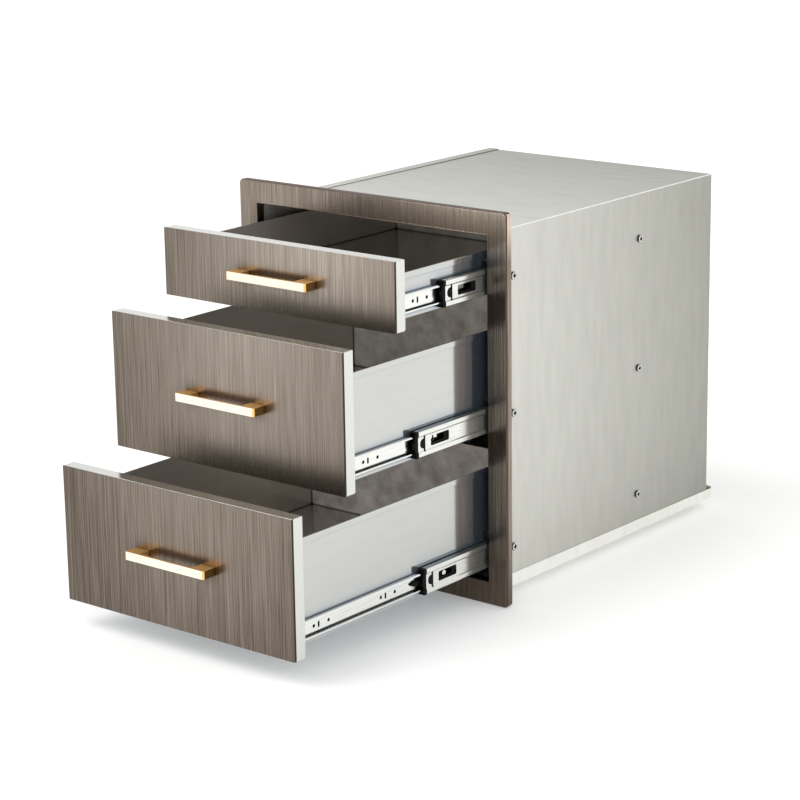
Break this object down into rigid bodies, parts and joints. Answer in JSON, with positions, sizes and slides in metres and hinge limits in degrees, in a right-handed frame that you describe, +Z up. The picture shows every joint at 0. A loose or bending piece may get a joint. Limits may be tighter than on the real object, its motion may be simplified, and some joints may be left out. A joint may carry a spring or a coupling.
{
  "type": "outdoor kitchen drawer unit",
  "caption": "Built-in stainless drawer unit: face frame, sheet steel cabinet and stacked drawers on telescopic ball-bearing slides, drawn partly open.",
  "frame": {"origin": "on the back of the face frame, in the middle of its lower lip", "axes": "+X to the right seen from the front, +Y into the kitchen cut-out, +Z up"},
  "size_m": [0.452, 0.9427, 0.524],
  "materials": {
    "hairline_face": "brown-grey coloured stainless sheet with an upright hairline grain",
    "front_shell_steel": "bright satin",
    "drawer_box_steel": "bright satin outside, dark reflections inside",
    "galvanised_sheet": "pale matt sheet steel",
    "zinc_plated_steel": "bright zinc plating",
    "cage_steel": "plain rolled steel",
    "champagne_gold": "satin champagne gold plating",
    "black_plastic": "moulded black"
  },
  "bodies": {
    "cabinet": {"face_frame": "hairline_face", "housing_wrap": "galvanised_sheet", "left_side_panel": "galvanised_sheet", "base_pan": "galvanised_sheet", "back_panel": "galvanised_sheet", "bottom_right_cabinet_rail": "zinc_plated_steel", "bottom_left_cabinet_rail": "zinc_plated_steel", "middle_right_cabinet_rail": "zinc_plated_steel", "middle_left_cabinet_rail": "zinc_plated_steel", "top_right_cabinet_rail": "zinc_plated_steel", "top_left_cabinet_rail": "zinc_plated_steel"},
    "bottom_drawer": {"bottom_front_skin": "hairline_face", "bottom_front_shell": "front_shell_steel", "bottom_handle": "champagne_gold", "bottom_drawer_box": "drawer_box_steel", "bottom_right_drawer_rail": "zinc_plated_steel", "bottom_left_drawer_rail": "zinc_plated_steel"},
    "bottom_middle_rails": {"bottom_right_middle_rail": "zinc_plated_steel", "bottom_right_front_guide": "black_plastic", "bottom_left_middle_rail": "zinc_plated_steel", "bottom_left_front_guide": "black_plastic"},
    "bottom_outer_cages": {"bottom_right_outer_ball_cage": "cage_steel", "bottom_left_outer_ball_cage": "cage_steel"},
    "bottom_inner_cages": {"bottom_right_inner_ball_cage": "cage_steel", "bottom_left_inner_ball_cage": "cage_steel"},
    "bottom_right_lever": {"bottom_right_release_lever": "black_plastic"},
    "bottom_left_lever": {"bottom_left_release_lever": "black_plastic"},
    "middle_drawer": {"middle_front_skin": "hairline_face", "middle_front_shell": "front_shell_steel", "middle_handle": "champagne_gold", "middle_drawer_box": "drawer_box_steel", "middle_right_drawer_rail": "zinc_plated_steel", "middle_left_drawer_rail": "zinc_plated_steel"},
    "middle_middle_rails": {"middle_right_middle_rail": "zinc_plated_steel", "middle_right_front_guide": "black_plastic", "middle_left_middle_rail": "zinc_plated_steel", "middle_left_front_guide": "black_plastic"},
    "middle_outer_cages": {"middle_right_outer_ball_cage": "cage_steel", "middle_left_outer_ball_cage": "cage_steel"},
    "middle_inner_cages": {"middle_right_inner_ball_cage": "cage_steel", "middle_left_inner_ball_cage": "cage_steel"},
    "middle_right_lever": {"middle_right_release_lever": "black_plastic"},
    "middle_left_lever": {"middle_left_release_lever": "black_plastic"},
    "top_drawer": {"top_front_skin": "hairline_face", "top_front_shell": "front_shell_steel", "top_handle": "champagne_gold", "top_drawer_box": "drawer_box_steel", "top_right_drawer_rail": "zinc_plated_steel", "top_left_drawer_rail": "zinc_plated_steel"},
    "top_middle_rails": {"top_right_middle_rail": "zinc_plated_steel", "top_right_front_guide": "black_plastic", "top_left_middle_rail": "zinc_plated_steel", "top_left_front_guide": "black_plastic"},
    "top_outer_cages": {"top_right_outer_ball_cage": "cage_steel", "top_left_outer_ball_cage": "cage_steel"},
    "top_inner_cages": {"top_right_inner_ball_cage": "cage_steel", "top_left_inner_ball_cage": "cage_steel"},
    "top_right_lever": {"top_right_release_lever": "black_plastic"},
    "top_left_lever": {"top_left_release_lever": "black_plastic"}
  },
  "joints": [
    {"name": "bottom_outer_stage", "type": "slide", "parent": "cabinet", "child": "bottom_middle_rails", "axis": [0, -1, 0], "range_m": [-0.162, 0.063]},
    {"name": "bottom_inner_stage", "type": "slide", "parent": "bottom_middle_rails", "child": "bottom_drawer", "axis": [0, -1, 0], "range_m": [-0.2205, 0.0045]},
    {"name": "bottom_outer_cages_roll", "type": "slide", "parent": "cabinet", "child": "bottom_outer_cages", "axis": [0, -1, 0], "range_m": [-0.081, 0.0315]},
    {"name": "bottom_inner_cages_roll", "type": "slide", "parent": "bottom_middle_rails", "child": "bottom_inner_cages", "axis": [0, -1, 0], "range_m": [-0.11025, 0.00225]},
    {"name": "bottom_right_release", "type": "hinge", "parent": "bottom_drawer", "child": "bottom_right_lever", "pos_m": [0.1863, -0.098, 0.061], "axis": [1, 0, 0], "range_deg": [-4, 0]},
    {"name": "bottom_left_release", "type": "hinge", "parent": "bottom_drawer", "child": "bottom_left_lever", "pos_m": [-0.1863, -0.098, 0.061], "axis": [1, 0, 0], "range_deg": [0, 4]},
    {"name": "middle_outer_stage", "type": "slide", "parent": "cabinet", "child": "middle_middle_rails", "axis": [0, -1, 0], "range_m": [-0.1746, 0.0504]},
    {"name": "middle_inner_stage", "type": "slide", "parent": "middle_middle_rails", "child": "middle_drawer", "axis": [0, -1, 0], "range_m": [-0.10912, 0.11588]},
    {"name": "middle_outer_cages_roll", "type": "slide", "parent": "cabinet", "child": "middle_outer_cages", "axis": [0, -1, 0], "range_m": [-0.0873, 0.0252]},
    {"name": "middle_inner_cages_roll", "type": "slide", "parent": "middle_middle_rails", "child": "middle_inner_cages", "axis": [0, -1, 0], "range_m": [-0.05456, 0.05794]},
    {"name": "middle_right_release", "type": "hinge", "parent": "middle_drawer", "child": "middle_right_lever", "pos_m": [0.1863, 0.00077, 0.244], "axis": [1, 0, 0], "range_deg": [-4, 0]},
    {"name": "middle_left_release", "type": "hinge", "parent": "middle_drawer", "child": "middle_left_lever", "pos_m": [-0.1863, 0.00077, 0.244], "axis": [1, 0, 0], "range_deg": [0, 4]},
    {"name": "top_outer_stage", "type": "slide", "parent": "cabinet", "child": "top_middle_rails", "axis": [0, -1, 0], "range_m": [-0.11655, 0.10845]},
    {"name": "top_inner_stage", "type": "slide", "parent": "top_middle_rails", "child": "top_drawer", "axis": [0, -1, 0], "range_m": [-0.06615, 0.15885]},
    {"name": "top_outer_cages_roll", "type": "slide", "parent": "cabinet", "child": "top_outer_cages", "axis": [0, -1, 0], "range_m": [-0.05828, 0.05423]},
    {"name": "top_inner_cages_roll", "type": "slide", "parent": "top_middle_rails", "child": "top_inner_cages", "axis": [0, -1, 0], "range_m": [-0.03308, 0.07942]},
    {"name": "top_right_release", "type": "hinge", "parent": "top_drawer", "child": "top_right_lever", "pos_m": [0.1863, 0.1018, 0.427], "axis": [1, 0, 0], "range_deg": [-4, 0]},
    {"name": "top_left_release", "type": "hinge", "parent": "top_drawer", "child": "top_left_lever", "pos_m": [-0.1863, 0.1018, 0.427], "axis": [1, 0, 0], "range_deg": [0, 4]}
  ],
  "couplings": [
    {"joint": "bottom_outer_cages_roll", "follows": "bottom_outer_stage", "ratio": 0.5},
    {"joint": "bottom_inner_cages_roll", "follows": "bottom_inner_stage", "ratio": 0.5},
    {"joint": "middle_outer_cages_roll", "follows": "middle_outer_stage", "ratio": 0.5},
    {"joint": "middle_inner_cages_roll", "follows": "middle_inner_stage", "ratio": 0.5},
    {"joint": "top_outer_cages_roll", "follows": "top_outer_stage", "ratio": 0.5},
    {"joint": "top_inner_cages_roll", "follows": "top_inner_stage", "ratio": 0.5}
  ]
}
